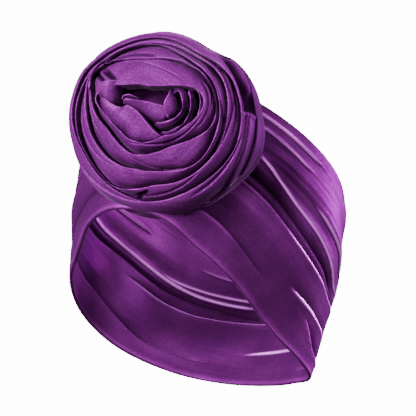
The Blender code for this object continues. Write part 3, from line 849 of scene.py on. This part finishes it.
SIDE_FOLD = [
    (30.8, 13.6, 43, 32.2, 13.6, 42), (31.6, 6.4, 45, 34.6, 5.8, 43),
    (29.2, -0.1, 45, 33.0, -1.9, 43), (25.0, -4.9, 43, 27.4, -6.6, 42),
]
END_ROLL = [
    (-21.6, 8.8, 42, -20.4, 9.2, 41.5), (-20.2, 11.4, 43.5, -18.8, 10.6, 42.5),
    (-16.1, 12.2, 44, -16.4, 10.6, 42.5), (-12.0, 11.0, 43, -12.8, 9.8, 42),
    (-9.1, 9.8, 41, -10.0, 9.0, 40.5),
]


def petal_lines(rows):
    """Fold and foot lines of a petal: cubic curves through its rows, drawn in to its ends' middle."""
    along = np.linspace(0, len(rows) - 1, PETAL_COLUMNS)
    low = np.clip(along.astype(int), 0, len(rows) - 2)
    t = (along - low)[:, None]
    values = np.array(rows, float)
    slopes = np.gradient(values, axis=0)
    curve = cubic(values[low], values[low + 1], slopes[low], slopes[low + 1], t) * MM
    share = along / along[-1]
    taper = np.sqrt(np.clip(np.minimum(share, 1 - share) / PETAL_TAPER, PETAL_LEAST, 1))[:, None]
    crest, foot = curve[:, :3], curve[:, 3:]
    middle = (crest + foot) / 2
    sink = np.array([0, 0, PETAL_SINK]) * (1 - taper)
    return middle + (crest - middle) * taper - sink, middle + (foot - middle) * taper - sink


def crumple(local):
    """Outward push of uneven dents: swaying waves about 20 mm long, multiplied, and fine ones added."""
    x, y = local[..., 0] / MM, local[..., 1] / MM
    dents = np.sin(x / 2.9 + 2 * np.sin(y / 5.1)) * np.sin(y / 3.3 + x / 6.7 + 1)
    return (DENT * dents + FINE_DENT * np.sin(x / 0.6 - y / 0.9)) * MM


# Each petal's rows, how round its face is, how deep it goes in mm, and its cloth's flat size in metres.
Petal = namedtuple("Petal", "name node rows round depth flat")
PETALS = [
    Petal("cup_petal", "rose_inner_wrap", CUP, 0.3, 14, (0.027, 0.027)),
    Petal("tongue_petal", "rose_inner_wrap", TONGUE, 0.6, 16, (0.055, 0.027)),
    Petal("heart_leaf", "rose_heart", HEART_LEAF, 0.4, 14, (0.035, 0.022)),
    Petal("heart_point", "rose_heart", HEART_POINT, 0.4, 12, (0.022, 0.017)),
    Petal("heart_loop", "rose_heart", HEART_LOOP, 0.5, 12, (0.045, 0.016)),
    Petal("heart_turn", "rose_heart", HEART_TURN, 0.5, 12, (0.044, 0.016)),
    Petal("side_lip", "rose_inner_wrap", SIDE_LIP, 0.5, 12, (0.024, 0.015)),
    Petal("side_fold", "rose_inner_wrap", SIDE_FOLD, 0.5, 12, (0.025, 0.015)),
    Petal("heart_end_roll", "rose_heart", END_ROLL, 0.8, 10, (0.017, 0.011)),
]
for petal in PETALS:
    crest, foot = petal_lines(petal.rows)
    shadow = np.full(PETAL_COLUMNS, PETAL_DARK)
    points, painted_light = roll(crest, foot, petal.round, petal.depth * MM, 0.0, shadow, crumple)
    piece = surface_of(petal.name, points, painted_light, joined=False)
    finished(piece, petal.node, rose_cloth)


# The core: behind the petals and windings the rolled cloth closes the flower, as a shallow cone from its
# middle out to the outer winding. It carries painted shade, because hardly any light comes down to it.
CORE_MIDDLE, CORE_EDGE, CORE_DEPTH, CORE_GAP = 28 * MM, 18 * MM, 28 * MM, 0.5 * MM
CORE_PAINTED_SHADE, CORE_DARK = 0.3, 0.8
level = np.ones(ROSE_COLUMNS)
crest = ring(CORE_GAP, CORE_MIDDLE * level)
foot = ring(crease_radius("outer") - CORE_GAP, CORE_EDGE * level)
points, painted_light = roll(crest, foot, 0.0, CORE_DEPTH, 0.0, CORE_DARK * level, crumple)
painted_light[:-BACK_ROWS] *= CORE_PAINTED_SHADE
finished(surface_of("rose_core", points, painted_light), "rose_heart", rose_cloth)


# The room: a wide pale floor well below the headband, which hangs free above it as worn, under soft
# light from the left, from above, from the right, from behind at the right, and from the front.
FLOOR_BELOW = 0.75
FLOOR_SIZE = 60.0
floor_corners = [(x * FLOOR_SIZE, y * FLOOR_SIZE, -FLOOR_BELOW)
                 for x, y in ((-1, -1), (1, -1), (1, 1), (-1, 1))]
floor_mesh = bpy.data.meshes.new("floor")
floor_mesh.from_pydata(floor_corners, [], [(0, 1, 2, 3)])
floor = bpy.data.objects.new("floor", floor_mesh)
bpy.context.scene.collection.objects.link(floor)
paper = bpy.data.materials.new("matt_white_paper")
paper.use_nodes = True
paper_shader = paper.node_tree.nodes["Principled BSDF"]
set_inputs(paper_shader, Base_Color=linear("fbfbfb"), Roughness=0.9)
set_inputs(paper_shader, Emission_Color=linear("ffffff"), Emission_Strength=14.0)
floor_mesh.materials.append(paper)
# The paper glows by itself, to show white, and throws no light back up at the cloth.
floor.visible_diffuse = False
floor.visible_glossy = False
floor.visible_shadow = False

world = bpy.data.worlds.new("bright_surround")
world.use_nodes = True
set_inputs(world.node_tree.nodes["Background"], Color=linear("ffffff"), Strength=0.08)
bpy.context.scene.world = world


def face_from(held, place, azimuth, elevation, distance):
    """Puts a lamp or camera out from a place, at an azimuth and elevation in degrees, facing it."""
    held.location = np.array(place) + way_out(azimuth, elevation) * distance
    held.rotation_euler = (np.pi / 2 - np.radians(elevation), 0, np.radians(azimuth))
    bpy.context.scene.collection.objects.link(held)


# Each lamp is a square: its azimuth and elevation in degrees, its distance and width in metres, its
# power in watts, and whether the cloth's shine shows it.
Lamp = namedtuple("Lamp", "name azimuth elevation distance width watts in_shine")
LAMPS = [
    Lamp("key_light", -22, 26, 1.6, 0.4, 44, True), Lamp("top_light", 34, 48, 1.6, 0.3, 11, True),
    Lamp("side_light", 104, 28, 1.6, 0.6, 24, True), Lamp("rim_light", 156, 4, 1.6, 0.5, 40, True),
    Lamp("front_light", 0, 12, 2.0, 1.0, 40, False),
]
for lamp in LAMPS:
    light = bpy.data.lights.new(lamp.name, "AREA")
    light.size = lamp.width
    light.energy = lamp.watts
    hung = bpy.data.objects.new(lamp.name, light)
    face_from(hung, (0, 0, 0), lamp.azimuth, lamp.elevation, lamp.distance)
    hung.visible_glossy = lamp.in_shine


# The camera: a long lens a little above the headband's level and to the wearer's left.
CAMERA_AZIMUTH = 30.0
CAMERA_ELEVATION = 6.0
CAMERA_DISTANCE = 1.5
CAMERA_AIM = (0.0190, -0.0218, 0.0210)
lens = bpy.data.cameras.new("camera")
lens.lens = 200
lens.sensor_width = 36
lens.clip_end = 200
camera = bpy.data.objects.new("camera", lens)
face_from(camera, CAMERA_AIM, CAMERA_AZIMUTH, CAMERA_ELEVATION, CAMERA_DISTANCE)
bpy.context.scene.camera = camera
